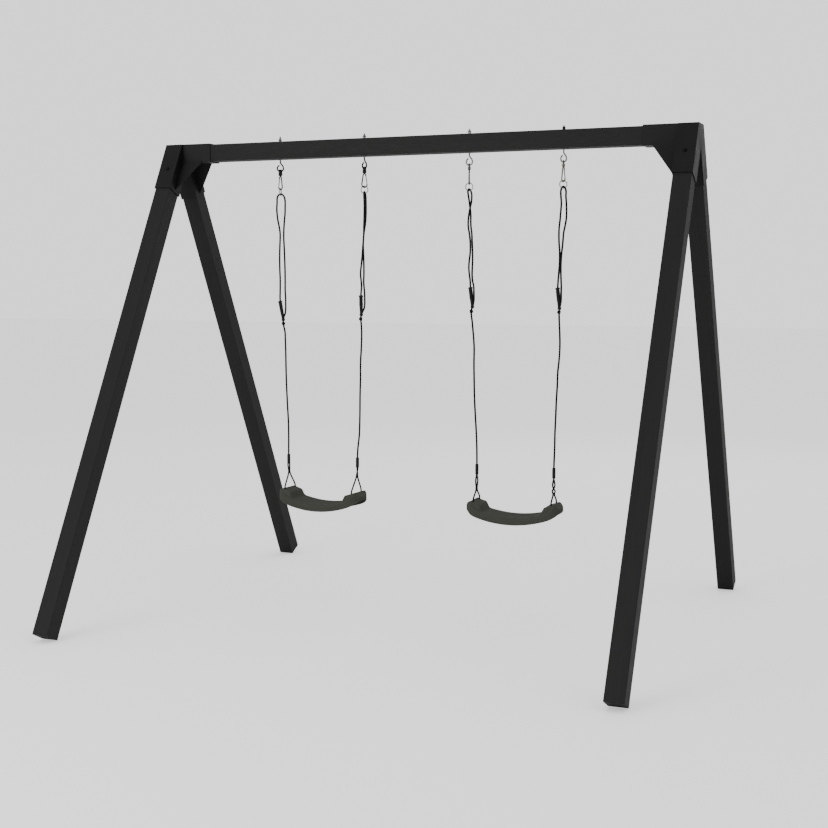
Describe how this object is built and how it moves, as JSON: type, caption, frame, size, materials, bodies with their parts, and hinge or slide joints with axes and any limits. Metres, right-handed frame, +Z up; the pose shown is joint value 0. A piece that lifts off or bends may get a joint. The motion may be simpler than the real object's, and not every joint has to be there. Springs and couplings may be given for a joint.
{
  "type": "swing set",
  "caption": "Free-standing timber A-frame swing set with welded corner brackets and moulded seats hung on adjustable ropes from hooks, snap hooks and rings.",
  "frame": {"origin": "on the ground, under the middle of the beam", "axes": "+X along the beam to the right as pictured, +Z up, -Y towards the side pictured"},
  "size_m": [2.926, 2.62, 2.517],
  "materials": {
    "timber": "black-stained planed softwood, matt",
    "bracket_steel": "black powder coat, satin",
    "dark_steel": "blackened hardware",
    "zinc_steel": "bright zinc plated",
    "rope": "black braided polypropylene rope",
    "black_plastic": "moulded black plastic",
    "seat_plastic": "moulded black-olive plastic with a fine texture"
  },
  "bodies": {
    "frame": {"top_beam": "timber", "leg_front_left": "timber", "leg_rear_left": "timber", "leg_front_right": "timber", "leg_rear_right": "timber", "corner_bracket_left": "bracket_steel", "leg_bolt_front_left": "dark_steel", "leg_bolt_rear_left": "dark_steel", "beam_bolt_left": "dark_steel", "corner_bracket_right": "bracket_steel", "leg_bolt_front_right": "dark_steel", "leg_bolt_rear_right": "dark_steel", "beam_bolt_right": "dark_steel", "swing_hook_1": "dark_steel", "hook_nut_1": "zinc_steel", "swing_hook_2": "dark_steel", "hook_nut_2": "zinc_steel", "swing_hook_3": "zinc_steel", "hook_nut_3": "zinc_steel", "swing_hook_4": "zinc_steel", "hook_nut_4": "dark_steel"},
    "swing_left": {"swivel_1": "dark_steel", "snap_hook_1": "dark_steel", "ring_1": "zinc_steel", "rope_1": "rope", "adjuster_1": "black_plastic", "swivel_2": "dark_steel", "snap_hook_2": "dark_steel", "ring_2": "zinc_steel", "rope_2": "rope", "adjuster_2": "black_plastic"},
    "gate_1": {"snap_gate_1": "zinc_steel"},
    "gate_2": {"snap_gate_2": "zinc_steel"},
    "seat_left_body": {"ferrule_1": "black_plastic", "seat_strand_1_front": "rope", "seat_strand_1_rear": "rope", "ferrule_2": "black_plastic", "seat_strand_2_front": "rope", "seat_strand_2_rear": "rope", "seat_left": "seat_plastic"},
    "swing_right": {"swivel_3": "zinc_steel", "snap_hook_3": "zinc_steel", "ring_3": "zinc_steel", "rope_3": "rope", "adjuster_3": "black_plastic", "swivel_4": "zinc_steel", "snap_hook_4": "zinc_steel", "ring_4": "zinc_steel", "rope_4": "rope", "adjuster_4": "black_plastic"},
    "gate_3": {"snap_gate_3": "zinc_steel"},
    "gate_4": {"snap_gate_4": "zinc_steel"},
    "seat_right_body": {"ferrule_3": "black_plastic", "seat_strand_3_front": "rope", "seat_strand_3_rear": "rope", "ferrule_4": "black_plastic", "seat_strand_4_front": "rope", "seat_strand_4_rear": "rope", "seat_right": "seat_plastic"}
  },
  "joints": [
    {"name": "swing_left_hinge", "type": "hinge", "parent": "frame", "child": "swing_left", "pos_m": [-0.5395, 0, 2.3325], "axis": [1, 0, 0], "range_deg": [-50, 50]},
    {"name": "snap_gate_1_hinge", "type": "hinge", "parent": "swing_left", "child": "gate_1", "pos_m": [-0.79536, 0.0039, 2.28909], "axis": [-0.4226, -0.9063, 0], "range_deg": [0, 25], "stiffness_Nm_per_rad": 0.02, "springref_deg": -20.05},
    {"name": "snap_gate_2_hinge", "type": "hinge", "parent": "swing_left", "child": "gate_2", "pos_m": [-0.28607, 0.00707, 2.28909], "axis": [-0.766, 0.6428, 0], "range_deg": [0, 25], "stiffness_Nm_per_rad": 0.02, "springref_deg": -20.05},
    {"name": "seat_left_hinge", "type": "hinge", "parent": "swing_left", "child": "seat_left_body", "pos_m": [-0.5395, 0, 0.806], "axis": [1, 0, 0], "range_deg": [-20, 20]},
    {"name": "swing_right_hinge", "type": "hinge", "parent": "frame", "child": "swing_right", "pos_m": [0.5395, 0, 2.3325], "axis": [1, 0, 0], "range_deg": [-50, 50]},
    {"name": "snap_gate_3_hinge", "type": "hinge", "parent": "swing_right", "child": "gate_3", "pos_m": [0.28961, 0.00891, 2.28909], "axis": [-0.9659, -0.2588, 0], "range_deg": [0, 25], "stiffness_Nm_per_rad": 0.02, "springref_deg": -20.05},
    {"name": "snap_gate_4_hinge", "type": "hinge", "parent": "swing_right", "child": "gate_4", "pos_m": [0.79386, -0.00617, 2.28909], "axis": [0.6691, 0.7431, 0], "range_deg": [0, 25], "stiffness_Nm_per_rad": 0.02, "springref_deg": -20.05},
    {"name": "seat_right_hinge", "type": "hinge", "parent": "swing_right", "child": "seat_right_body", "pos_m": [0.55, 0, 0.806], "axis": [1, 0, 0], "range_deg": [-20, 20]}
  ]
}
